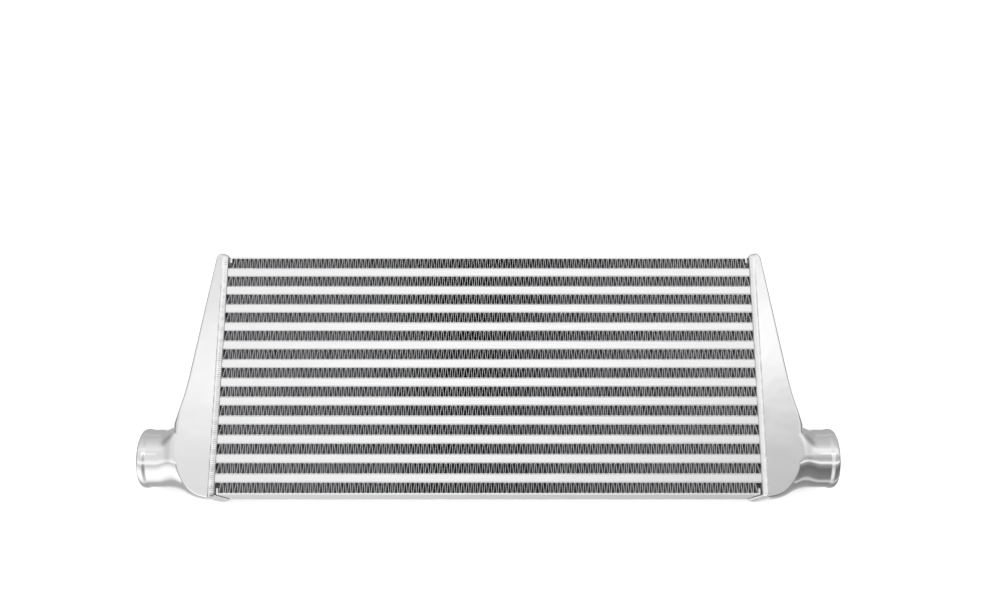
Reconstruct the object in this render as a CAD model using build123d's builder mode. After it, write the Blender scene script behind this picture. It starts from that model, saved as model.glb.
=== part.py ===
"""Bar-and-plate intercooler with two cast end tanks.

The intercooler lies on its back. X runs across the core from stub to stub, Y from the stub end
of the tanks to their narrow end, and Z comes up out of the front face. The origin is under the
middle of the core, on the plane that the tanks' backs rest on. Sizes are in millimetres.
"""

from build123d import *
from math import atan2, degrees, hypot
import os

# Core stack: fins and tubes lie in turn from +Y to -Y, with a fin row outermost at both ends.
core_length = 600.0
core_depth = 70.0
tube_count = 12
bar_height = 9.0
bar_depth = 8.0
bar_edge_chamfer = 0.7
sheet_thickness = 0.5
header_bar_width = 4.8

# Air fins: one corrugated strip a row, its waves along X.
fin_height = 11.0
fin_thickness = 0.3
fin_wave = 25.0
fin_recess = 1.0
fin_end_gap = 0.5

# Turbulators: one corrugated strip a tube, its waves across the depth.
turbulator_thickness = 0.3
turbulator_wave = 18.0
turbulator_side_gap = 0.3
turbulator_end_gap = 4.0

# Side plates, with their ends folded in beside the outer fin rows.
plate_thickness = 2.0
plate_fold_radius = 1.5
lip_height = 7.0
lip_gap = 1.9

# Weld run round the joint of core and tank, piled up over the tanks' narrow end.
weld_width = 6.8
weld_rise = 2.6
weld_core_chamfer = 2.0
weld_tank_chamfer = 0.9
weld_toe_rise = 0.8
weld_slope_width = 5.0

# Cast tanks: reaches are measured along X from the end of the core. The narrow end stands
# prouder of the core than the tank's other sides.
tank_step = 3.0
narrow_step = 4.5
tank_wall = 4.0
tank_edge_chamfer = 2.5
collar_length = 2.0
collar_rise = 1.0
top_reach = 10.4
top_corner_radius = 7.0
shoulder_reach = 30.2
shoulder_y = 1.0
lobe_reach = 44.5
elbow_y = -56.0
lobe_y = -75.0
heel_radius = 32.0

# Bell-shaped flare from the tank out to the hose stub, sunk a little below the tank's flat faces.
flare_start_reach = 10.0
flare_end_reach = 58.0
flare_inset = 0.6

# Tapered mouth inside the flare.
mouth_start_reach = 22.0
mouth_end_reach = 52.0
mouth_start_radius = 33.5

# Hose stub with its rolled bead.
stub_y = -90.6
stub_radius = 32.0
stub_wall = 3.0
stub_reach = 84.0
bead_rise = 1.0
bead_width = 9.0
bead_shoulder = 2.0
mouth_radius = 1.2

# Worked out from the sizes above.
tube_height = bar_height + 2 * sheet_thickness
row_pitch = fin_height + tube_height
row_count = tube_count + 1
core_height = row_count * fin_height + tube_count * tube_height + 2 * plate_thickness
stack_height = core_height - 2 * plate_thickness
core_end = core_length / 2
core_back = tank_step
core_front = core_back + core_depth
tank_depth = core_depth + 2 * tank_step
mid_depth = tank_depth / 2
tank_half = core_height / 2 + tank_step
narrow_y = core_height / 2 + narrow_step
mouth_x = core_end + collar_length
lobe_x = core_end + lobe_reach
lobe_width = lobe_x - mouth_x
lobe_drop = tank_half + lobe_y
heel_drop = lobe_drop - heel_radius
lobe_radius = (lobe_width**2 + heel_drop**2 - heel_radius**2) / (2 * (lobe_width - heel_radius))
heel_angle = degrees(atan2(heel_drop, lobe_radius - lobe_width))
weld_start = mouth_x - weld_width
weld_top_y = narrow_y - tank_step + weld_rise
plate_length = 2 * (core_end - header_bar_width - lip_gap)

os.makedirs("parts", exist_ok=True)


def row_top(row):
    """Y of the upper edge of an air row, counted from +Y."""
    return stack_height / 2 - row * row_pitch


def tube_top(tube):
    """Y of the upper edge of a tube, which lies under the air row of the same number."""
    return row_top(tube) - fin_height


def corrugation(start, length, low, height, wave, thickness):
    """Corners of a zigzag strip that fills a channel with whole waves."""
    legs = 2 * max(1, round(length / wave))
    leg = length / legs
    web = thickness * hypot(leg, height) / leg
    upper = [(start + i * leg, low + (web if i % 2 else height)) for i in range(legs + 1)]
    lower = [(u, v - web) for u, v in reversed(upper)]
    return upper + lower


def write(piece, name):
    """Labels a finished piece and writes it to its own file."""
    piece.part.label = name
    export_step(piece.part, f"parts/{name}.step")


def make_tube(tube):
    """Two parting sheets and their rear bar, with the header bars of the row above.

    The last tube also carries the header bars of the outer row below it.
    """
    middle = tube_top(tube) - tube_height / 2
    header_x = core_end - header_bar_width / 2
    header_rows = [tube, tube + 1] if tube == tube_count - 1 else [tube]
    header_spots = [(x, row_top(row) - fin_height / 2) for row in header_rows for x in (-header_x, header_x)]
    sheet_offset = (bar_height + sheet_thickness) / 2
    with BuildPart() as part:
        with BuildSketch(Plane.YZ) as section:
            with Locations((middle, core_back + bar_depth / 2)):
                Rectangle(bar_height, bar_depth)
            chamfer(section.vertices().group_by(Axis.Y)[0], bar_edge_chamfer)
            with Locations((middle, core_back + core_depth / 2)):
                with Locations((-sheet_offset, 0), (sheet_offset, 0)):
                    Rectangle(sheet_thickness, core_depth)
        extrude(amount=core_length / 2, both=True)
        with BuildSketch(Plane.XY.offset(core_back)):
            with Locations(*header_spots):
                Rectangle(header_bar_width, fin_height)
        extrude(amount=core_depth)
    return part


def make_front_bar(tube):
    """Solid bar that closes a tube at the front, between its two sheets."""
    middle = tube_top(tube) - tube_height / 2
    with BuildPart() as part:
        with BuildSketch(Plane.YZ) as section:
            with Locations((middle, core_front - bar_depth / 2)):
                Rectangle(bar_height, bar_depth)
            chamfer(section.vertices().group_by(Axis.Y)[-1], bar_edge_chamfer)
        extrude(amount=core_length / 2, both=True)
    return part


def make_turbulator(tube):
    """Corrugated strip inside a tube, between its bars and its sheets."""
    low = tube_top(tube) - tube_height + sheet_thickness
    start = core_back + bar_depth + turbulator_side_gap
    length = core_depth - 2 * (bar_depth + turbulator_side_gap)
    points = corrugation(start, length, low, bar_height, turbulator_wave, turbulator_thickness)
    with BuildPart() as part:
        with BuildSketch(Plane.YZ):
            with BuildLine():
                Polyline(*[(y, z) for z, y in points], close=True)
            make_face()
        extrude(amount=core_length / 2 - turbulator_end_gap, both=True)
    return part


def make_air_fin(row):
    """Corrugated strip of one air row, between header bars or, outermost, between the lips."""
    if row in (0, row_count - 1):
        half_length = plate_length / 2 - plate_thickness - fin_end_gap
    else:
        half_length = core_end - header_bar_width - fin_end_gap
    low = row_top(row) - fin_height
    points = corrugation(-half_length, 2 * half_length, low, fin_height, fin_wave, fin_thickness)
    with BuildPart() as part:
        with BuildSketch(Plane.XY.offset(core_back + fin_recess)):
            with BuildLine():
                Polyline(*points, close=True)
            make_face()
        extrude(amount=core_depth - 2 * fin_recess)
    return part


def make_top_plate():
    """Side plate along the outer fin row, its two ends folded in as lips."""
    outer_y = core_height / 2
    with BuildPart() as part:
        with BuildSketch(Plane.XY.offset(core_back)) as section:
            with Locations((0, outer_y)):
                Rectangle(plate_length, lip_height, align=(Align.CENTER, Align.MAX))
            fillet(section.vertices().group_by(Axis.Y)[-1], plate_fold_radius)
            with Locations((0, outer_y - plate_thickness)):
                Rectangle(
                    plate_length - 2 * plate_thickness,
                    lip_height,
                    align=(Align.CENTER, Align.MAX),
                    mode=Mode.SUBTRACT,
                )
        extrude(amount=core_depth)
    return part


def make_weld():
    """Weld run round the right-hand joint: it fills the step from the core up to the tank."""
    bottom_y = -core_height / 2 - weld_rise
    outer_depth = core_depth + 2 * weld_rise
    toe_y = core_height / 2 + weld_toe_rise
    with BuildPart() as part:
        with BuildSketch(Plane.YZ.offset(weld_start)):
            with Locations((bottom_y, mid_depth)):
                Rectangle(weld_top_y - bottom_y, outer_depth, align=(Align.MIN, Align.CENTER))
        extrude(amount=weld_width)
        chamfer(part.faces().sort_by(Axis.X)[0].edges(), weld_core_chamfer)
        chamfer(part.faces().sort_by(Axis.X)[-1].edges(), weld_tank_chamfer)
        with BuildSketch():
            with BuildLine():
                Polyline(
                    (weld_start, toe_y),
                    (weld_start + weld_slope_width, weld_top_y),
                    (weld_start, weld_top_y),
                    close=True,
                )
            make_face()
        extrude(amount=tank_depth, mode=Mode.SUBTRACT)
        with BuildSketch(Plane.YZ.offset(weld_start)):
            with Locations((0, mid_depth)):
                Rectangle(stack_height, core_depth)
        extrude(amount=core_end - weld_start, mode=Mode.SUBTRACT)
        with BuildSketch(Plane.YZ.offset(core_end)):
            with Locations((0, mid_depth)):
                Rectangle(core_height + 2 * collar_rise, core_depth + 2 * collar_rise)
        extrude(amount=collar_length, mode=Mode.SUBTRACT)
    return part


def tank_outline(inset, top_y):
    """Front view of the tank's body: a narrow top, a slanting wall, and a lobe by the stub.

    The lobe's side and its heel are two arcs that meet in line. All but the top moves in by
    inset.
    """
    bottom_y = inset - tank_half
    side_x = lobe_x - inset
    top_corner = (core_end + top_reach - inset, top_y)
    shoulder = (core_end + shoulder_reach - inset, shoulder_y)
    lobe_centre = (lobe_x - lobe_radius, lobe_y)
    heel_centre = (mouth_x, heel_radius - tank_half)
    with BuildSketch() as outline:
        with BuildLine():
            Line((mouth_x, top_y), top_corner)
            slant = Line(top_corner, shoulder)
            TangentArc(shoulder, (side_x, elbow_y), tangent=slant % 1)
            Line((side_x, elbow_y), (side_x, lobe_y))
            CenterArc(lobe_centre, lobe_radius - inset, 0, -heel_angle)
            CenterArc(heel_centre, heel_radius - inset, -heel_angle, heel_angle - 90)
            Line((mouth_x, bottom_y), (mouth_x, top_y))
        make_face()
        top_corners = outline.vertices().group_by(Axis.Y)[-1]
        fillet(top_corners.sort_by(Axis.X)[-1], top_corner_radius - inset)
    return outline.sketch


def make_bell():
    """Flare round the stub's axis: two arcs that swing out from the stub to the tank's depth.

    Its front and back are cut flat, just below the tank's own flat faces.
    """
    start_x = core_end + flare_start_reach
    end_x = core_end + flare_end_reach
    wide_y = flare_inset - tank_half
    narrow_y = stub_y - stub_radius
    halfway = ((start_x + end_x) / 2, (wide_y + narrow_y) / 2)
    with BuildPart() as bell:
        with BuildSketch(Plane.XY.offset(mid_depth)):
            with BuildLine():
                Line((start_x, stub_y), (start_x, wide_y))
                outward = TangentArc((start_x, wide_y), halfway, tangent=(1, 0))
                TangentArc(halfway, (end_x, narrow_y), tangent=outward % 1)
                Polyline((end_x, narrow_y), (end_x, stub_y), (start_x, stub_y))
            make_face()
        revolve(axis=Axis((0, stub_y, mid_depth), (1, 0, 0)))
        with Locations((start_x, stub_y, mid_depth)):
            Box(
                end_x - start_x,
                2 * (stub_y - wide_y),
                tank_depth - 2 * flare_inset,
                align=(Align.MIN, Align.CENTER, Align.CENTER),
                mode=Mode.INTERSECT,
            )
    return bell


def make_tank_hollow():
    """Space inside the tank, open towards the core and out through the stub."""
    mouth_start = core_end + mouth_start_reach
    bead_end = core_end + stub_reach
    bore_y = stub_y - stub_radius + stub_wall
    with BuildPart() as part:
        with BuildSketch(Plane.XY.offset(tank_wall)):
            add(tank_outline(tank_wall, tank_half - tank_wall))
        extrude(amount=tank_depth - 2 * tank_wall)
        with BuildSketch(Plane.YZ.offset(core_end)):
            with Locations((0, mid_depth)):
                Rectangle(2 * (tank_half - tank_wall), tank_depth - 2 * tank_wall)
        extrude(amount=collar_length + tank_wall)
        with BuildSketch(Plane.XY.offset(mid_depth)):
            with BuildLine():
                Polyline(
                    (mouth_start, stub_y),
                    (mouth_start, stub_y - mouth_start_radius),
                    (core_end + mouth_end_reach, bore_y),
                    (bead_end, bore_y),
                    (bead_end, stub_y),
                    close=True,
                )
            make_face()
        revolve(axis=Axis((0, stub_y, mid_depth), (1, 0, 0)))
    return part


def make_tank():
    """Right-hand cast tank: body, collar, flare and stub, hollowed to its wall."""
    bell = make_bell()
    hollow = make_tank_hollow()
    flare_end = core_end + flare_end_reach
    bead_end = core_end + stub_reach
    bead_start = bead_end - bead_width
    crown = stub_y + stub_radius
    with BuildPart() as part:
        add(tank_outline(0, narrow_y))
        extrude(amount=tank_depth)
        rims = part.edges().filter_by(lambda edge: edge.center().X > mouth_x + tank_edge_chamfer)
        chamfer(rims.group_by(Axis.Z)[0] + rims.group_by(Axis.Z)[-1], tank_edge_chamfer)
        with BuildSketch(Plane.YZ.offset(core_end)):
            with Locations((0, mid_depth)):
                Rectangle(core_height + 2 * collar_rise, core_depth + 2 * collar_rise)
        extrude(amount=collar_length)
        add(bell.part)
        with BuildSketch(Plane.XY.offset(mid_depth)):
            with BuildLine():
                Polyline(
                    (flare_end, stub_y),
                    (flare_end, crown),
                    (bead_start - bead_shoulder, crown),
                    (bead_start, crown + bead_rise),
                    (bead_end - mouth_radius, crown + bead_rise),
                    (bead_end, crown + bead_rise - mouth_radius),
                    (bead_end, stub_y),
                    close=True,
                )
            make_face()
        revolve(axis=Axis((0, stub_y, mid_depth), (1, 0, 0)))
        add(hollow.part, mode=Mode.SUBTRACT)
    return part


def make_mirrored(piece):
    """The left-hand twin of a right-hand piece."""
    with BuildPart() as part:
        mirror(piece.part, about=Plane.YZ)
    return part


for row in range(row_count):
    write(make_air_fin(row), f"air_fin_{row + 1:02d}")

for tube in range(tube_count):
    write(make_tube(tube), f"tube_{tube + 1:02d}")
    write(make_front_bar(tube), f"front_bar_{tube + 1:02d}")
    write(make_turbulator(tube), f"turbulator_{tube + 1:02d}")

top_plate = make_top_plate()
write(top_plate, "top_plate")
with BuildPart() as bottom_plate:
    mirror(top_plate.part, about=Plane.XZ)
write(bottom_plate, "bottom_plate")

weld_right = make_weld()
write(weld_right, "weld_right")
write(make_mirrored(weld_right), "weld_left")

tank_right = make_tank()
write(tank_right, "tank_right")
write(make_mirrored(tank_right), "tank_left")
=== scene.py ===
"""Looks of the intercooler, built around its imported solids.

The CAD frame has X from stub to stub, Y to the tanks' narrow ends and Z up out of the front face.
Lengths are in millimetres and turn into metres where a mesh is made, unless a comment says metres.
"""

from math import acos, atan2, ceil, copysign, cos, pi, radians, sin, sqrt, tau
from random import Random

import bpy
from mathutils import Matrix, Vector, noise


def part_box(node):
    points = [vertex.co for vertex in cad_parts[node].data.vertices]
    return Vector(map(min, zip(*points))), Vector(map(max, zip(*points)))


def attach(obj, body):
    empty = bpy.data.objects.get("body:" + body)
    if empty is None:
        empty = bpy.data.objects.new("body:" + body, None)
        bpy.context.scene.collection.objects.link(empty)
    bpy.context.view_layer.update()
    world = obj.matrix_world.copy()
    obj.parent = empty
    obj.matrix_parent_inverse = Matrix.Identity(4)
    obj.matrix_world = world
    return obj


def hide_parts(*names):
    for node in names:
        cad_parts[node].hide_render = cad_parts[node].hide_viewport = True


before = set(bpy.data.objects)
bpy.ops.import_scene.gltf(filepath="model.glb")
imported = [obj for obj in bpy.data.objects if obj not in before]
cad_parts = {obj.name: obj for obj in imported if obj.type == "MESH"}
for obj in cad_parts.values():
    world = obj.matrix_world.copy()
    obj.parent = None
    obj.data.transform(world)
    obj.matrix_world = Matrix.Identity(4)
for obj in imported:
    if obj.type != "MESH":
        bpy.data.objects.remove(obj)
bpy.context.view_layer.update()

MM = 0.001
ROW_COUNT = 13
TUBE_COUNT = 12

# Rounding of the front bars' edges.
BAR_EDGE = 0.7
BAR_EDGE_SEGMENTS = 2
BAR_EDGE_ANGLE = radians(50)

# Air fins at their true pitch. A crest's points are shares of its half width and of its drop.
FIN_WAVE = 5.1
FIN_THICKNESS = 0.28
FIN_END_GAP = 3.4
FIN_CREST_HALF = 0.85
FIN_CREST_DROP = 0.45
FIN_CREST = ((-1.0, 1.0), (-0.6, 0.25), (0.0, 0.0), (0.6, 0.25), (1.0, 1.0))
FIN_CREASE = radians(60)

# Each crest is off its place by a random lean and by a slow wander along the strip.
FIN_LEAN = 0.7
FIN_LEAN_SHARE = 0.5
FIN_WANDER_CELL = 23
FIN_SEED = 100

# Sideways bends of the strip from back to front: it is straight near both faces.
FIN_SWAY = 2.4
FIN_BENDS = (0, 0, 0, 1, 0, -1, 0, 0, 0)

# End of the core, with the collar by which a tank sits on it.
CORE_END = 300.0
CORE_DEPTH = 70.0
CORE_HEIGHT = 267.0
COLLAR_LENGTH = 2.0
COLLAR_RISE = 1.0
COLLAR_OVERLAP = 1

# Body of a cast tank, as in the solids. Reaches run along X from the end of the core.
TANK_STEP = 3.0
NARROW_STEP = 4.5
TANK_WALL = 4.0
TOP_REACH = 10.4
TOP_CORNER_RADIUS = 7.0
SHOULDER_REACH = 30.2
SHOULDER_Y = 1.0
LOBE_REACH = 44.5
ELBOW_Y = -56.0
LOBE_Y = -75.0
HEEL_RADIUS = 32.0
TOP_CORNER_STEPS = 10
ELBOW_STEPS = 14
LOBE_STEPS = 16
HEEL_STEPS = 14

# Rounded rim of its front and back, which is wider where the face runs out into the neck. The
# pairs are the Y where that widening starts and is full, and where it starts to end and has ended.
RIM_RADIUS = 3.0
NECK_RIM_RADIUS = 7.0
NECK_RIM_RISE = (-40.0, -60.0)
NECK_RIM_FALL = (-84.0, -110.0)
RIM_STEPS = 6

# Hollow of the tank: its share of the rim's widening, and how far it is cut past both mouths.
HOLLOW_RIM_SHARE = 0.45
HOLLOW_PAST = 5.0

# Neck that flares from the stub out to the body. The crown is its front and back.
FLARE_START_REACH = 10.0
FLARE_END_REACH = 58.0
FLARE_INSET = 0.6
CROWN_START_REACH = 36.0
CROWN_END_REACH = 62.0
CROWN_START_RADIUS = 39.0
CROWN_FULLNESS = 3.0
FULLNESS_START_REACH = 38.0
NECK_STEPS = 34

# Tapered mouth inside the neck.
MOUTH_START_REACH = 22.0
MOUTH_END_REACH = 52.0
MOUTH_START_RADIUS = 33.5

# Hose stub with its bead and its rounded mouth.
STUB_Y = -90.6
STUB_RADIUS = 32.0
STUB_WALL = 3.0
STUB_REACH = 84.0
BEAD_RISE = 1.0
BEAD_WIDTH = 9.0
BEAD_SHOULDER = 2.0
BEAD_ROUND = 5.0
BEAD_TURN = 2.2
MOUTH_ROUND = 0.8
STUB_STEPS = 8

# Points round the neck and stub, and how the casting is shaded.
RING_STEPS = 144
TANK_CREASE = radians(38)
FLAT_FACE_WEIGHT = 100

# Weld bead round each joint: its slope up to the tank, with a groove beside the tank that fades
# towards the narrow end.
WELD_WIDTH = 6.8
WELD_CORNER = 1.2
WELD_FULLNESS = 0.35
WELD_GROOVE = 0.75
WELD_GROOVE_START = 0.8
WELD_GROOVE_CHANGE = 0.6
WELD_GROOVE_CELL = 9
WELD_GROOVE_SEED = 4
WELD_FADE = 0.85
WELD_FADE_Y = (100, 128)

# Its ripples, lumps and wandering edge.
WELD_PITCH = 2.3
WELD_RIPPLE = 0.16
WELD_RIPPLE_BOW = 1.6
WELD_LUMP = 0.3
WELD_LUMP_CELL = 6
WELD_LUMP_SEED = (7.3, 3.1)
WELD_WANDER = 0.35
WELD_WANDER_CELL = 17

# Its mesh: least distance from the core and from the tank's face, and sink into the core.
WELD_MARGIN = 0.02
WELD_SINK = 0.05
WELD_CORNER_STEPS = 6
WELD_SECTION_STEPS = 12
WELD_STEP_LENGTH = 0.55
WELD_CREASE = radians(70)

# Noise in the materials. Scales are in cells a metre, and depths are in metres.
NOISE_LOW = 0.3
NOISE_HIGH = 0.7
NOISE_ROUGHNESS = 0.55
PATCH_SCALE = 38
PATCH_DETAIL = 4.0
GRAIN_DETAIL = 5.0
GRAIN_STRENGTH = 0.6
UNEVEN_SCALE = 14
UNEVEN_DETAIL = 3.0
UNEVEN_DEPTH = 0.0006
UNEVEN_STRENGTH = 0.5

# Camera: it looks down on the front face from the stubs' side.
IMAGE_WIDTH = 995
FOCAL_PIXELS = 1074.0
SENSOR_WIDTH = 36.0
CAMERA_TILT = radians(14)
CAMERA_AIM = (10.0, 75.0, 73.0)
CAMERA_DISTANCE = 1207.0

# Stage.
FLOOR_HALF = 6000.0
DOME_RADIUS = 5900.0
DOME_TURNS = 48
DOME_RISES = 12
DOME_BRIGHTNESS = 0.9

# Studio: brightness by the angle in degrees from straight up, positive towards -Y, to the left
# and to the right of the part. The two blend over a strip in the middle.
LEFT_BANDS = (
    (-180, 0.80), (-165, 0.80), (-150, 0.45), (-101, 0.50), (-97, 0.66), (-92, 0.50), (-60, 0.66),
    (-28, 0.90), (-17, 0.80), (-5, 0.77), (10, 0.80), (26, 1.08), (36, 0.62), (56, 1.05),
    (84, 1.20), (104, 0.95), (120, 0.45), (150, 0.45), (165, 0.80), (180, 0.80),
)
RIGHT_BANDS = (
    (-180, 0.80), (-165, 0.80), (-150, 0.42), (-101, 0.48), (-97, 0.66), (-92, 0.48), (-50, 0.60),
    (-38, 0.74), (-28, 0.98), (-17, 0.90), (-12, 0.86), (-8, 0.60), (-3, 0.57), (3, 0.47),
    (11, 0.46), (16, 0.60), (24, 1.15), (31, 0.35), (50, 0.15), (96, 0.24), (110, 0.70),
    (120, 0.24), (150, 0.35), (180, 0.80),
)
BANDS_BLEND = 0.25

# Soft boxes overhead: angle, its skew with X, spread, reach along X and brightness.
BOXES = (
    (radians(-11.2), radians(-3), radians(3.4), 0.33, 0.42),
    (radians(-4), 0.0, radians(9), 0.15, 0.25),
)
BOX_END_POWER = 4.0

# Share of the brightness that is left at the far left and right, and where it fades to that.
SIDE_SHARE = 0.5
SIDE_FADE = (0.80, 0.97)

# Worked out from the sizes above.
TANK_DEPTH = CORE_DEPTH + 2 * TANK_STEP
MID_DEPTH = TANK_DEPTH / 2
TANK_HALF = CORE_HEIGHT / 2 + TANK_STEP
NARROW_Y = CORE_HEIGHT / 2 + NARROW_STEP
MOUTH_X = CORE_END + COLLAR_LENGTH
LOBE_X = CORE_END + LOBE_REACH
LOBE_WIDTH = LOBE_X - MOUTH_X
LOBE_DROP = TANK_HALF + LOBE_Y
HEEL_DROP = LOBE_DROP - HEEL_RADIUS
LOBE_RADIUS = (LOBE_WIDTH**2 + HEEL_DROP**2 - HEEL_RADIUS**2) / (2 * (LOBE_WIDTH - HEEL_RADIUS))
HEEL_ANGLE = atan2(HEEL_DROP, LOBE_RADIUS - LOBE_WIDTH)


# ---------------------------------------------------------------- mesh helpers

def make_object(name, points, faces):
    """A smooth-shaded mesh object from points in millimetres."""
    mesh = bpy.data.meshes.new(name)
    mesh.from_pydata([tuple(c * MM for c in p) for p in points], [], faces)
    mesh.validate()
    mesh.update()
    for polygon in mesh.polygons:
        polygon.use_smooth = True
    piece = bpy.data.objects.new(name, mesh)
    bpy.context.scene.collection.objects.link(piece)
    return piece


def combine(target, tool, operation):
    """Applies a boolean of two objects to the first and deletes the second."""
    modifier = target.modifiers.new("combine", "BOOLEAN")
    modifier.object = tool
    modifier.operation = operation
    modifier.solver = "EXACT"
    modifier.material_mode = "TRANSFER"
    bpy.context.view_layer.update()
    graph = bpy.context.evaluated_depsgraph_get()
    mesh = bpy.data.meshes.new_from_object(target.evaluated_get(graph))
    target.modifiers.clear()
    target.data = mesh
    bpy.data.objects.remove(tool)


def strip_faces(rings, ring_length):
    """Quads between successive closed rings of points."""
    faces = []
    for ring in range(rings - 1):
        for i in range(ring_length):
            j = (i + 1) % ring_length
            a, b = ring * ring_length, (ring + 1) * ring_length
            faces.append((a + i, a + j, b + j, b + i))
    return faces


def arc(centre, radius, start, sweep, steps):
    """Points on an arc, both ends included."""
    turns = [start + sweep * i / steps for i in range(steps + 1)]
    return [(centre[0] + radius * cos(a), centre[1] + radius * sin(a)) for a in turns]


def ease(value, start, end):
    """0 before start, 1 past end, and level at both."""
    t = max(0.0, min(1.0, (value - start) / (end - start)))
    return t * t * (3 - 2 * t)


# ---------------------------------------------------------------- tanks

def tank_outline(inset, top_y):
    """Front view of the tank's body, with the same number of points for every inset.

    All of it moves in by the inset but the narrow end, which lies at top_y.
    """
    side_x = LOBE_X - inset
    corner = Vector((CORE_END + TOP_REACH - inset, top_y))
    shoulder = Vector((CORE_END + SHOULDER_REACH - inset, SHOULDER_Y))
    slant = (shoulder - corner).normalized()
    radius = TOP_CORNER_RADIUS - inset
    turn = acos(-slant.x)
    trim = radius / -slant.y * (1 + slant.x)
    top_centre = (corner.x - trim, top_y - radius)
    points = [(MOUTH_X, top_y)]
    points += arc(top_centre, radius, pi / 2, -(pi - turn), TOP_CORNER_STEPS)
    # The elbow turns from the slanting wall to the lobe's side on one arc.
    chord = Vector((side_x, ELBOW_Y)) - shoulder
    normal = Vector((slant.y, -slant.x))
    elbow_radius = chord.length_squared / (2 * chord.dot(normal))
    elbow_centre = shoulder + normal * elbow_radius
    start = atan2(shoulder.y - elbow_centre.y, shoulder.x - elbow_centre.x)
    end = atan2(ELBOW_Y - elbow_centre.y, side_x - elbow_centre.x)
    points += arc(elbow_centre, abs(elbow_radius), start, end - start, ELBOW_STEPS)
    # The lobe's side and the heel are two arcs that meet in line.
    lobe_centre = (LOBE_X - LOBE_RADIUS, LOBE_Y)
    points += arc(lobe_centre, LOBE_RADIUS - inset, 0, -HEEL_ANGLE, LOBE_STEPS)
    heel_centre = (MOUTH_X, HEEL_RADIUS - TANK_HALF)
    heel_sweep = HEEL_ANGLE - pi / 2
    points += arc(heel_centre, HEEL_RADIUS - inset, -HEEL_ANGLE, heel_sweep, HEEL_STEPS)
    return points


def rim_radii():
    """Radius of the rim at each point of the outline."""
    radii = []
    for _, y in tank_outline(0, NARROW_Y):
        grown = ease(y, *NECK_RIM_RISE) - ease(y, *NECK_RIM_FALL)
        radii.append(RIM_RADIUS + grown * (NECK_RIM_RADIUS - RIM_RADIUS))
    return radii


def inset_outline(insets, top_y):
    """The outline with an own inset at every point. top_y gives the narrow end's Y for an inset."""
    return [tank_outline(inset, top_y(inset))[i] for i, inset in enumerate(insets)]


def make_body(name):
    """Tank body with rounded rims: the outline drawn in towards its flat front and back."""
    radii = rim_radii()
    length = len(radii)
    rings = []
    for i in range(RIM_STEPS + 1):
        a = pi / 2 * i / RIM_STEPS
        insets = [radius * (1 - cos(a)) for radius in radii]
        outline = inset_outline(insets, lambda inset: NARROW_Y - inset)
        rings.append([(x, y, radius * (1 - sin(a))) for (x, y), radius in zip(outline, radii)])
    rings = rings[::-1]
    rings += [[(x, y, TANK_DEPTH - z) for x, y, z in ring] for ring in rings[::-1]]
    points = [p for ring in rings for p in ring]
    faces = strip_faces(len(rings), length)
    faces.append(tuple(reversed(range(length))))
    faces.append(tuple(range(len(points) - length, len(points))))
    return make_object(name, points, faces)


def make_prism(name, outline, low, high):
    """Straight-sided solid between two heights."""
    length = len(outline)
    points = [(x, y, z) for z in (low, high) for x, y in outline]
    faces = strip_faces(2, length)
    faces.append(tuple(reversed(range(length))))
    faces.append(tuple(range(length, 2 * length)))
    return make_object(name, points, faces)


def make_turned(name, profile, half_depth):
    """Solid round the stub's axis from (X, radius, crown radius, fullness), cut at half_depth.

    The crown radius is the one towards the front and the back. Fullness squares the side towards
    the narrow end.
    """
    points = []
    for x, radius, crown, fullness in profile:
        for i in range(RING_STEPS):
            a = tau * i / RING_STEPS
            power = 2 / (2 + fullness) if cos(a) > 0 else 1
            y = copysign(radius * abs(cos(a)) ** power, cos(a))
            z = copysign(min(half_depth, crown * abs(sin(a)) ** power), sin(a))
            points.append((x, STUB_Y + y, MID_DEPTH + z))
    faces = [tuple(reversed(f)) for f in strip_faces(len(profile), RING_STEPS)]
    faces.append(tuple(range(RING_STEPS)))
    faces.append(tuple(reversed(range(len(points) - RING_STEPS, len(points)))))
    return make_object(name, points, faces)


def flare_radius(x):
    """Radius of the flare at X: two equal arcs, level at both ends."""
    start, end = CORE_END + FLARE_START_REACH, CORE_END + FLARE_END_REACH
    wide = TANK_HALF - FLARE_INSET + STUB_Y
    length, drop = end - start, wide - STUB_RADIUS
    radius = (length**2 + drop**2) / (4 * drop)
    if x >= end:
        return STUB_RADIUS
    if x - start <= length / 2:
        return wide - radius + sqrt(radius**2 - (x - start) ** 2)
    return STUB_RADIUS + radius - sqrt(radius**2 - (end - x) ** 2)


def neck_profile():
    """Stations from inside the tank to the stub. The crown narrows later than the two sides."""
    start, end = CORE_END + FLARE_START_REACH, CORE_END + CROWN_END_REACH
    stations = []
    for i in range(NECK_STEPS + 1):
        x = start + (end - start) * i / NECK_STEPS
        fall = ease(x, CORE_END + CROWN_START_REACH, end)
        crown = CROWN_START_RADIUS - fall * (CROWN_START_RADIUS - STUB_RADIUS)
        radius = flare_radius(x)
        fullness = CROWN_FULLNESS * (1 - ease(x, CORE_END + FULLNESS_START_REACH, end))
        stations.append((x, radius, max(radius, crown), fullness))
    return stations


def stub_profile():
    """Stations along the stub, over its bead to the rounded mouth."""
    end = CORE_END + STUB_REACH
    foot = end - BEAD_WIDTH - BEAD_SHOULDER
    crest = end - BEAD_ROUND
    stations = []
    for i in range(1, STUB_STEPS + 1):
        x = foot + (crest - foot) * i / STUB_STEPS
        radius = STUB_RADIUS + BEAD_RISE * ease(x, foot, crest)
        stations.append((x, radius, radius, 0))
    for i in range(1, STUB_STEPS + 1):
        a = pi / 2 * i / STUB_STEPS
        radius = STUB_RADIUS + BEAD_RISE - BEAD_TURN * (1 - cos(a))
        stations.append((crest + BEAD_ROUND * sin(a), radius, radius, 0))
    return stations


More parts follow.
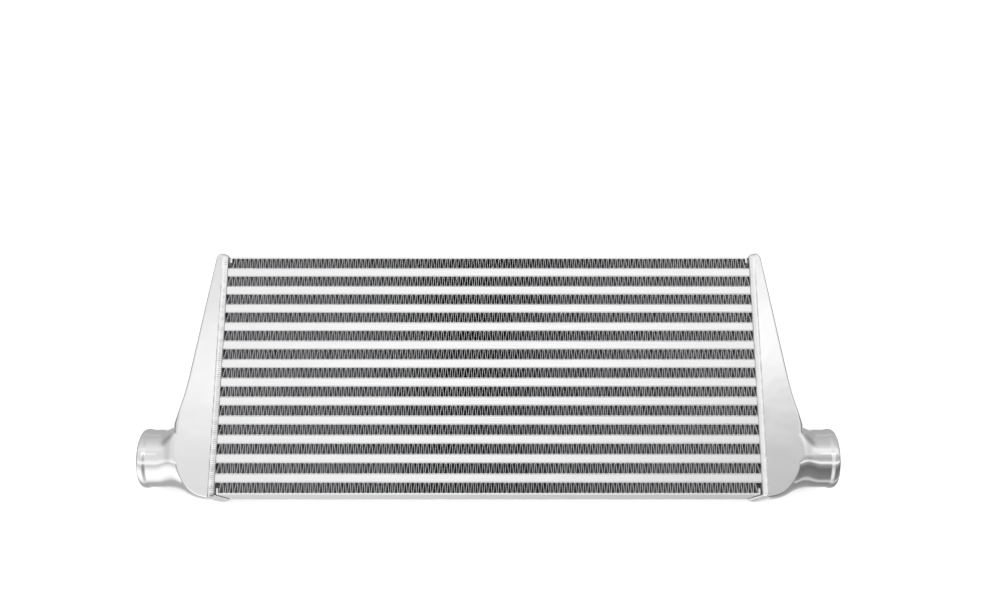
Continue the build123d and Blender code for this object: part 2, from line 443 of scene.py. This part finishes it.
def make_hollow(name):
    """Space inside the tank, as one closed solid that runs out past both of its mouths."""
    insets = [TANK_WALL + HOLLOW_RIM_SHARE * (radius - RIM_RADIUS) for radius in rim_radii()]
    inner = inset_outline(insets, lambda inset: TANK_HALF - TANK_WALL)
    open_x = CORE_END - HOLLOW_PAST
    inner = [(open_x, inner[0][1])] + inner + [(open_x, inner[-1][1])]
    hollow = make_prism(name, inner, TANK_WALL, TANK_DEPTH - TANK_WALL)
    bore = STUB_RADIUS - STUB_WALL
    end = CORE_END + STUB_REACH
    stations = [
        (CORE_END + MOUTH_START_REACH, MOUTH_START_RADIUS),
        (CORE_END + MOUTH_END_REACH, bore),
        (end - MOUTH_ROUND, bore),
        (end, bore + MOUTH_ROUND),
        (end + HOLLOW_PAST, bore + MOUTH_ROUND),
    ]
    profile = [(x, radius, radius, 0) for x, radius in stations]
    combine(hollow, make_turned("bore_tool", profile, MID_DEPTH), "UNION")
    return hollow


def make_tank(name, outside, inside):
    """Right-hand tank as one casting, with a material for its outside and one for its hollow."""
    tank = make_body(name)
    collar_y = CORE_HEIGHT / 2 + COLLAR_RISE
    collar_end = MOUTH_X + COLLAR_OVERLAP
    collar = [
        (CORE_END, -collar_y),
        (collar_end, -collar_y),
        (collar_end, collar_y),
        (CORE_END, collar_y),
    ]
    low = TANK_STEP - COLLAR_RISE
    combine(tank, make_prism("collar_tool", collar, low, TANK_DEPTH - low), "UNION")
    combine(tank, make_turned("neck_tool", neck_profile() + stub_profile(), MID_DEPTH), "UNION")
    paint(tank, outside)
    hollow = make_hollow("hollow_tool")
    paint(hollow, inside)
    combine(tank, hollow, "DIFFERENCE")
    for polygon in tank.data.polygons:
        polygon.use_smooth = True
    tank.data.set_sharp_from_angle(angle=TANK_CREASE)
    flatten = tank.modifiers.new("flat_faces", "WEIGHTED_NORMAL")
    flatten.keep_sharp = True
    flatten.weight = FLAT_FACE_WEIGHT
    return tank


def mirrored(piece, name):
    """The left-hand twin of a right-hand piece."""
    mesh = piece.data.copy()
    for vertex in mesh.vertices:
        vertex.co.x = -vertex.co.x
    mesh.flip_normals()
    twin = bpy.data.objects.new(name, mesh)
    bpy.context.scene.collection.objects.link(twin)
    for modifier in piece.modifiers:
        copy = twin.modifiers.new(modifier.name, modifier.type)
        copy.keep_sharp, copy.weight = modifier.keep_sharp, modifier.weight
    return twin


# ---------------------------------------------------------------- air fins

def fin_line(half_length, low, high, chance):
    """Middle line of one corrugated strip, with crests that wander a little, as rolled."""
    waves = round(2 * (half_length - FIN_END_GAP) / FIN_WAVE)
    leg = (half_length - FIN_END_GAP) / waves
    reach = FIN_THICKNESS / 2
    crests = []
    for i in range(2 * waves + 1):
        x = -half_length + FIN_END_GAP + i * leg
        lean = chance.uniform(-FIN_LEAN, FIN_LEAN) * FIN_LEAN_SHARE
        wander = FIN_LEAN * noise.noise(Vector((x / FIN_WANDER_CELL, low, 0)))
        crests.append((x + (lean + wander), i % 2 == 0))
    crests.insert(0, (-half_length + reach, False))
    crests.append((half_length - reach, False))
    points = []
    for i, (x, up) in enumerate(crests):
        y = high - reach if up else low + reach
        inward = -1 if up else 1
        if i in (0, len(crests) - 1):
            points.append((x, y))
            continue
        for spread, drop in FIN_CREST:
            points.append((x + FIN_CREST_HALF * spread, y + inward * FIN_CREST_DROP * drop))
    return points


def thicken(points, thickness):
    """Both edges of a strip drawn along points, square to the line through their neighbours."""
    upper, lower = [], []
    for i, (x, y) in enumerate(points):
        ax, ay = points[max(0, i - 1)]
        bx, by = points[min(len(points) - 1, i + 1)]
        dx, dy = bx - ax, by - ay
        size = sqrt(dx * dx + dy * dy)
        nx, ny = -dy / size * thickness / 2, dx / size * thickness / 2
        upper.append((x + nx, y + ny))
        lower.append((x - nx, y - ny))
    return upper, lower


def make_fin(row):
    """One air row's strip, in place of its coarse solid."""
    node = f"air_fin_{row:02d}"
    box_low, box_high = (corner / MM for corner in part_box(node))
    line = fin_line(box_high.x, box_low.y, box_high.y, Random(FIN_SEED + row))
    upper, lower = thicken(line, FIN_THICKNESS)
    section = [(x, min(box_high.y, max(box_low.y, y))) for x, y in upper + lower[::-1]]
    section = [(min(box_high.x, max(box_low.x, x)), y) for x, y in section]
    length = len(section)
    steps = len(FIN_BENDS) - 1
    points = []
    for step, bend in enumerate(FIN_BENDS):
        z = box_low.z + (box_high.z - box_low.z) * step / steps
        sway = FIN_SWAY * bend
        points += [(min(box_high.x, max(box_low.x, x + sway)), y, z) for x, y in section]
    faces = strip_faces(len(FIN_BENDS), length)
    last = steps * length
    for i in range(len(line) - 1):
        j = length - 1 - i
        faces.append((j, j - 1, i + 1, i))
        faces.append((last + i, last + i + 1, last + j - 1, last + j))
    piece = make_object(f"fin_strip_{row:02d}", points, faces)
    piece.data.set_sharp_from_angle(angle=FIN_CREASE)
    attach(piece, "root")
    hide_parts(node)
    return piece


# ---------------------------------------------------------------- welds

def corner_point(y_side, z_side, angle):
    """Y and Z of a point on the slight rounding of one of the core's corners."""
    y = y_side * (CORE_HEIGHT / 2 - WELD_CORNER) + WELD_CORNER * cos(angle)
    z = MID_DEPTH + z_side * (CORE_DEPTH / 2 - WELD_CORNER) + WELD_CORNER * sin(angle)
    return y, z


def weld_path():
    """Closely spaced points round the joint on the core's surface, with outward directions."""
    path = []
    corners = [(1, 1, 0), (-1, 1, pi / 2), (-1, -1, pi), (1, -1, 3 * pi / 2)]
    for k, (y_side, z_side, start) in enumerate(corners):
        for i in range(WELD_CORNER_STEPS + 1):
            a = start + pi / 2 * i / WELD_CORNER_STEPS
            path.append((*corner_point(y_side, z_side, a), cos(a), sin(a)))
        # Straight run to the next corner.
        next_y_side, next_z_side, _ = corners[(k + 1) % len(corners)]
        a = start + pi / 2
        begin = corner_point(y_side, z_side, a)
        end = corner_point(next_y_side, next_z_side, a)
        run = sqrt((end[0] - begin[0]) ** 2 + (end[1] - begin[1]) ** 2)
        steps = ceil(run / WELD_STEP_LENGTH)
        for i in range(1, steps):
            t = i / steps
            y, z = begin[0] + t * (end[0] - begin[0]), begin[1] + t * (end[1] - begin[1])
            path.append((y, z, cos(a), sin(a)))
    return path


def noise_at(y, z, cell, place):
    """Noise round the joint, in cells of the given size."""
    return noise.noise(Vector((y / cell, z / cell, 0)) + Vector(place))


def make_weld(name, seed):
    """Rippled bead that fills the step from the core up to the tank."""
    start = MOUTH_X - WELD_WIDTH
    path = weld_path()
    rings = []
    travelled = 0.0
    lump_place = (seed * WELD_LUMP_SEED[0], seed * WELD_LUMP_SEED[1], 0)
    for k, (y, z, out_y, out_z) in enumerate(path):
        before = path[k - 1]
        travelled += sqrt((y - before[0]) ** 2 + (z - before[1]) ** 2)
        change = noise_at(y, z, WELD_GROOVE_CELL, (0, 0, seed + WELD_GROOVE_SEED))
        faded = 1 - WELD_FADE * ease(y, *WELD_FADE_Y)
        groove = WELD_GROOVE * faded * (1 + WELD_GROOVE_CHANGE * change)
        wander = WELD_WANDER * noise_at(y, z, WELD_WANDER_CELL, (0, 0, seed))
        lump = WELD_LUMP * noise_at(y, z, WELD_LUMP_CELL, lump_place)
        # The narrow end stands prouder of the core, so the bead swells there.
        swell = 1 + (NARROW_STEP / TANK_STEP - 1) * max(0, out_y) ** 2
        ring = []
        for i in range(WELD_SECTION_STEPS + 1):
            u = i / WELD_SECTION_STEPS
            x = start + wander * (1 - u) + u * WELD_WIDTH
            slope = TANK_STEP * u**WELD_FULLNESS - groove * ease(u, WELD_GROOVE_START, 1.0)
            phase = (travelled + WELD_RIPPLE_BOW * (2 * u - 1) ** 2) / WELD_PITCH
            ripple = WELD_RIPPLE * (abs(sin(pi * phase)) - 0.5) * sin(pi * u) ** 0.5
            rise = slope + ripple + lump * sin(pi * u)
            height = swell * max(WELD_MARGIN, min(TANK_STEP - WELD_MARGIN, rise))
            ring.append((x, y + out_y * height, z + out_z * height))
        # Inner face, against the core and the collar.
        ring.append((MOUTH_X, y, z))
        ring.append((start, y - out_y * WELD_SINK, z - out_z * WELD_SINK))
        rings.append(ring)
    length = len(rings[0])
    points = [p for ring in rings for p in ring]
    count = len(rings)
    faces = []
    for k in range(count):
        a, b = k * length, (k + 1) % count * length
        for i in range(length):
            j = (i + 1) % length
            faces.append((a + i, b + i, b + j, a + j))
    piece = make_object(name, points, faces)
    piece.data.set_sharp_from_angle(angle=WELD_CREASE)
    return piece


# ---------------------------------------------------------------- materials

def new_material(name):
    """A new node material, with its node tree and its shader."""
    material = bpy.data.materials.new(name)
    material.use_nodes = True
    tree = material.node_tree
    return material, tree, tree.nodes["Principled BSDF"]


def add_noise(tree, scale, detail, stretch=(1, 1, 1)):
    """Noise over the object, with an own stretch for each axis."""
    coordinates = tree.nodes.new("ShaderNodeTexCoord")
    mapping = tree.nodes.new("ShaderNodeMapping")
    mapping.inputs["Scale"].default_value = stretch
    texture = tree.nodes.new("ShaderNodeTexNoise")
    texture.inputs["Scale"].default_value = scale
    texture.inputs["Detail"].default_value = detail
    texture.inputs["Roughness"].default_value = NOISE_ROUGHNESS
    tree.links.new(coordinates.outputs["Object"], mapping.inputs["Vector"])
    tree.links.new(mapping.outputs["Vector"], texture.inputs["Vector"])
    return texture.outputs["Fac"]


def add_range(tree, value, source, target=(0, 1), interpolation="LINEAR"):
    """Maps a value from one range to another."""
    spread = tree.nodes.new("ShaderNodeMapRange")
    spread.interpolation_type = interpolation
    spread.inputs["From Min"].default_value, spread.inputs["From Max"].default_value = source
    spread.inputs["To Min"].default_value, spread.inputs["To Max"].default_value = target
    tree.links.new(value, spread.inputs["Value"])
    return spread.outputs["Result"]


def add_colours(tree, value, dark, light):
    """Mixes two colours by noise."""
    ramp = tree.nodes.new("ShaderNodeValToRGB")
    ramp.color_ramp.elements[0].position = NOISE_LOW
    ramp.color_ramp.elements[0].color = (*dark, 1)
    ramp.color_ramp.elements[1].position = NOISE_HIGH
    ramp.color_ramp.elements[1].color = (*light, 1)
    tree.links.new(value, ramp.inputs["Fac"])
    return ramp.outputs["Color"]


def add_bump(tree, shader, height, depth, strength, below=None):
    """Adds a bump to a shader, over an earlier one if there is one."""
    bump = tree.nodes.new("ShaderNodeBump")
    bump.inputs["Strength"].default_value = strength
    bump.inputs["Distance"].default_value = depth
    tree.links.new(height, bump.inputs["Height"])
    if below is not None:
        tree.links.new(below.outputs["Normal"], bump.inputs["Normal"])
    tree.links.new(bump.outputs["Normal"], shader.inputs["Normal"])
    return bump


def metal(name, dark, light, roughness, grain, depth, stretch=(1, 1, 1), shine=1.0):
    """Bare aluminium with patches, grain and a slight unevenness.

    Roughness is its lowest and highest value. Grain, depth and stretch are the grain's scale,
    depth and stretch, and shine is how metallic the surface is.
    """
    material, tree, shader = new_material(name)
    shader.inputs["Metallic"].default_value = shine
    patches = add_noise(tree, PATCH_SCALE, PATCH_DETAIL)
    grains = add_noise(tree, grain, GRAIN_DETAIL, stretch)
    tree.links.new(add_colours(tree, patches, dark, light), shader.inputs["Base Color"])
    dulled = add_range(tree, grains, (NOISE_LOW, NOISE_HIGH), roughness)
    tree.links.new(dulled, shader.inputs["Roughness"])
    uneven = add_noise(tree, UNEVEN_SCALE, UNEVEN_DETAIL)
    swell = add_bump(tree, shader, uneven, UNEVEN_DEPTH, UNEVEN_STRENGTH)
    add_bump(tree, shader, grains, depth, GRAIN_STRENGTH, swell)
    return material


def paint(piece, material):
    """Gives a piece one material."""
    piece.data.materials.clear()
    piece.data.materials.append(material)


def paint_node(name, material):
    """Gives a CAD node's object one material."""
    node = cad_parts[name]
    if not node.material_slots:
        node.data.materials.append(material)
    for material_slot in node.material_slots:
        material_slot.material = material


def soften(name):
    """Rounds a CAD node's sharp edges."""
    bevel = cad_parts[name].modifiers.new("eased_edges", "BEVEL")
    bevel.width = BAR_EDGE * MM
    bevel.segments = BAR_EDGE_SEGMENTS
    bevel.limit_method = "ANGLE"
    bevel.angle_limit = BAR_EDGE_ANGLE


# ---------------------------------------------------------------- build

cast = metal(
    "cast_aluminium", (0.89, 0.89, 0.895), (0.92, 0.92, 0.925),
    roughness=(0.09, 0.13), grain=500, depth=0.000002,
)
raw_cast = metal(
    "raw_cast_aluminium", (0.55, 0.55, 0.56), (0.70, 0.70, 0.71),
    roughness=(0.45, 0.60), grain=700, depth=0.00008,
)
bar_metal = metal(
    "bar_aluminium", (0.96, 0.96, 0.965), (0.99, 0.99, 0.995),
    roughness=(0.24, 0.32), grain=700, depth=0.000003, stretch=(0.03, 1, 1),
)
plate_metal = metal(
    "plate_aluminium", (0.88, 0.88, 0.885), (0.94, 0.94, 0.945),
    roughness=(0.25, 0.35), grain=600, depth=0.00001, stretch=(0.05, 1, 1),
)
fin_metal = metal(
    "fin_aluminium", (0.78, 0.78, 0.79), (0.88, 0.88, 0.885),
    roughness=(0.30, 0.42), grain=300, depth=0.00002, shine=0.75,
)
weld_metal = metal(
    "weld_aluminium", (0.92, 0.92, 0.925), (0.97, 0.97, 0.975),
    roughness=(0.14, 0.24), grain=500, depth=0.00003,
)
tube_metal = metal(
    "tube_aluminium", (0.80, 0.80, 0.81), (0.88, 0.88, 0.885),
    roughness=(0.30, 0.45), grain=500, depth=0.00002, stretch=(0.1, 1, 1),
)

tank_right = make_tank("tank_right_casting", cast, raw_cast)
tank_left = mirrored(tank_right, "tank_left_casting")
for tank, node in ((tank_right, "tank_right"), (tank_left, "tank_left")):
    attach(tank, "root")
    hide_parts(node)

weld_right = make_weld("weld_right_bead", 1)
weld_left = mirrored(make_weld("weld_left_tool", 2), "weld_left_bead")
bpy.data.objects.remove(bpy.data.objects["weld_left_tool"])
for weld, node in ((weld_right, "weld_right"), (weld_left, "weld_left")):
    paint(weld, weld_metal)
    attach(weld, "root")
    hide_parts(node)

for row in range(1, ROW_COUNT + 1):
    paint(make_fin(row), fin_metal)

for tube in range(1, TUBE_COUNT + 1):
    paint_node(f"tube_{tube:02d}", tube_metal)
    paint_node(f"front_bar_{tube:02d}", bar_metal)
    soften(f"front_bar_{tube:02d}")
    paint_node(f"turbulator_{tube:02d}", tube_metal)
for plate in ("top_plate", "bottom_plate"):
    paint_node(plate, plate_metal)


# ---------------------------------------------------------------- stage, light and camera

def make_floor():
    """Plain pale floor under the tanks' backs."""
    corners = [(-1, -1), (1, -1), (1, 1), (-1, 1)]
    points = [(x * FLOOR_HALF, y * FLOOR_HALF, 0) for x, y in corners]
    floor = make_object("floor", points, [(0, 1, 2, 3)])
    material, _, shader = new_material("pale_floor")
    shader.inputs["Base Color"].default_value = (0.9, 0.9, 0.9, 1)
    shader.inputs["Roughness"].default_value = 0.9
    shader.inputs["Specular IOR Level"].default_value = 0.0
    floor.visible_glossy = False
    paint(floor, material)


def make_backdrop():
    """Plain pale dome behind the part, which lights and mirrors nothing."""
    points = []
    for rise in range(DOME_RISES):
        a = pi / 2 * rise / DOME_RISES
        for i in range(DOME_TURNS):
            x = DOME_RADIUS * cos(a) * cos(tau * i / DOME_TURNS)
            y = DOME_RADIUS * cos(a) * sin(tau * i / DOME_TURNS)
            points.append((x, y, DOME_RADIUS * sin(a)))
    faces = strip_faces(DOME_RISES, DOME_TURNS)
    faces.append(tuple(range(len(points) - DOME_TURNS, len(points))))
    dome = make_object("backdrop", points, faces)
    material, _, shader = new_material("pale_backdrop")
    shader.inputs["Base Color"].default_value = (0, 0, 0, 1)
    shader.inputs["Specular IOR Level"].default_value = 0.0
    shader.inputs["Emission Color"].default_value = (1, 1, 1, 1)
    shader.inputs["Emission Strength"].default_value = DOME_BRIGHTNESS
    dome.visible_diffuse = dome.visible_glossy = False
    dome.visible_transmission = dome.visible_shadow = False
    paint(dome, material)


def add_area(name, place, aim, width, height, watts):
    """Soft box light, aimed at a point. Its places and sizes are in metres."""
    light = bpy.data.lights.new(name, "AREA")
    light.shape = "RECTANGLE"
    light.size, light.size_y = width, height
    light.energy = watts
    lamp = bpy.data.objects.new(name, light)
    lamp.visible_glossy = False
    lamp.location = place
    lamp.rotation_mode = "QUATERNION"
    lamp.rotation_quaternion = (Vector(aim) - Vector(place)).to_track_quat("-Z", "Y")
    bpy.context.scene.collection.objects.link(lamp)


def make_camera():
    """Camera over the front face, tilted towards the narrow ends of the tanks."""
    data = bpy.data.cameras.new("camera")
    data.sensor_fit = "HORIZONTAL"
    data.sensor_width = SENSOR_WIDTH
    data.lens = FOCAL_PIXELS / IMAGE_WIDTH * SENSOR_WIDTH
    camera = bpy.data.objects.new("camera", data)
    forward = Vector((0, sin(CAMERA_TILT), -cos(CAMERA_TILT)))
    camera.location = (Vector(CAMERA_AIM) - forward * CAMERA_DISTANCE) * MM
    camera.rotation_euler = (CAMERA_TILT, 0, 0)
    bpy.context.scene.collection.objects.link(camera)
    bpy.context.scene.camera = camera


def add_math(tree, operation, first, second=None):
    """One math node on values or sockets."""
    node = tree.nodes.new("ShaderNodeMath")
    node.operation = operation
    for socket, value in zip(node.inputs, (first, second)):
        if isinstance(value, (int, float)):
            socket.default_value = value
        elif value is not None:
            tree.links.new(value, socket)
    return node.outputs[0]


def add_bands(tree, angle, bands):
    """Brightness by the angle from straight up, blended from band to band."""
    turn = add_range(tree, angle, (-pi, pi))
    ramp = tree.nodes.new("ShaderNodeValToRGB")
    stops = ramp.color_ramp.elements
    while len(stops) < len(bands):
        stops.new(0.5)
    for stop, (degrees, brightness) in zip(stops, bands):
        stop.position = (degrees + 180) / 360
        stop.color = (brightness, brightness, brightness, 1)
    tree.links.new(turn, ramp.inputs["Fac"])
    return ramp.outputs["Color"]


def add_box(tree, x, angle, box):
    """Brightness of one soft box overhead."""
    box_angle, skew, spread, reach, gain = box
    centre = add_math(tree, "ADD", add_math(tree, "MULTIPLY", x, skew), box_angle)
    off_x = add_math(tree, "DIVIDE", x, reach)
    off_angle = add_math(tree, "DIVIDE", add_math(tree, "SUBTRACT", angle, centre), spread)
    off_end = add_math(tree, "POWER", off_x, BOX_END_POWER)
    off_edge = add_math(tree, "MULTIPLY", off_angle, off_angle)
    off = add_math(tree, "ADD", off_end, off_edge)
    share = add_math(tree, "EXPONENT", add_math(tree, "MULTIPLY", off, -1.0))
    return add_math(tree, "MULTIPLY", share, gain)


def make_world():
    """Studio: bands of brightness that run along X, soft boxes overhead, and dimmer far sides."""
    world = bpy.data.worlds.new("studio")
    world.use_nodes = True
    tree = world.node_tree
    background = tree.nodes["Background"]
    coordinates = tree.nodes.new("ShaderNodeTexCoord")
    axes = tree.nodes.new("ShaderNodeSeparateXYZ")
    tree.links.new(coordinates.outputs["Generated"], axes.inputs["Vector"])
    x, y, z = axes.outputs
    angle = add_math(tree, "ARCTAN2", add_math(tree, "MULTIPLY", y, -1.0), z)
    sides = tree.nodes.new("ShaderNodeMix")
    sides.data_type = "RGBA"
    to_right = add_range(tree, x, (-BANDS_BLEND, BANDS_BLEND), interpolation="SMOOTHSTEP")
    tree.links.new(to_right, sides.inputs["Factor"])
    tree.links.new(add_bands(tree, angle, LEFT_BANDS), sides.inputs["A"])
    tree.links.new(add_bands(tree, angle, RIGHT_BANDS), sides.inputs["B"])
    total = sides.outputs["Result"]
    for box in BOXES:
        glow = add_box(tree, x, angle, box)
        plus = tree.nodes.new("ShaderNodeMix")
        plus.data_type = "RGBA"
        plus.blend_type = "ADD"
        plus.inputs["Factor"].default_value = 1.0
        tree.links.new(total, plus.inputs["A"])
        tree.links.new(glow, plus.inputs["B"])
        total = plus.outputs["Result"]
    tree.links.new(total, background.inputs["Color"])
    reach = add_math(tree, "ABSOLUTE", x)
    fade = add_range(tree, reach, SIDE_FADE, (1.0, SIDE_SHARE), interpolation="SMOOTHSTEP")
    tree.links.new(fade, background.inputs["Strength"])
    bpy.context.scene.world = world


make_floor()
make_backdrop()
make_world()
make_camera()
add_area("floor_fill", place=(0, 0, 2.2), aim=(0, 0, 0), width=3.0, height=3.0, watts=90)
bpy.context.scene.view_settings.view_transform = "Standard"
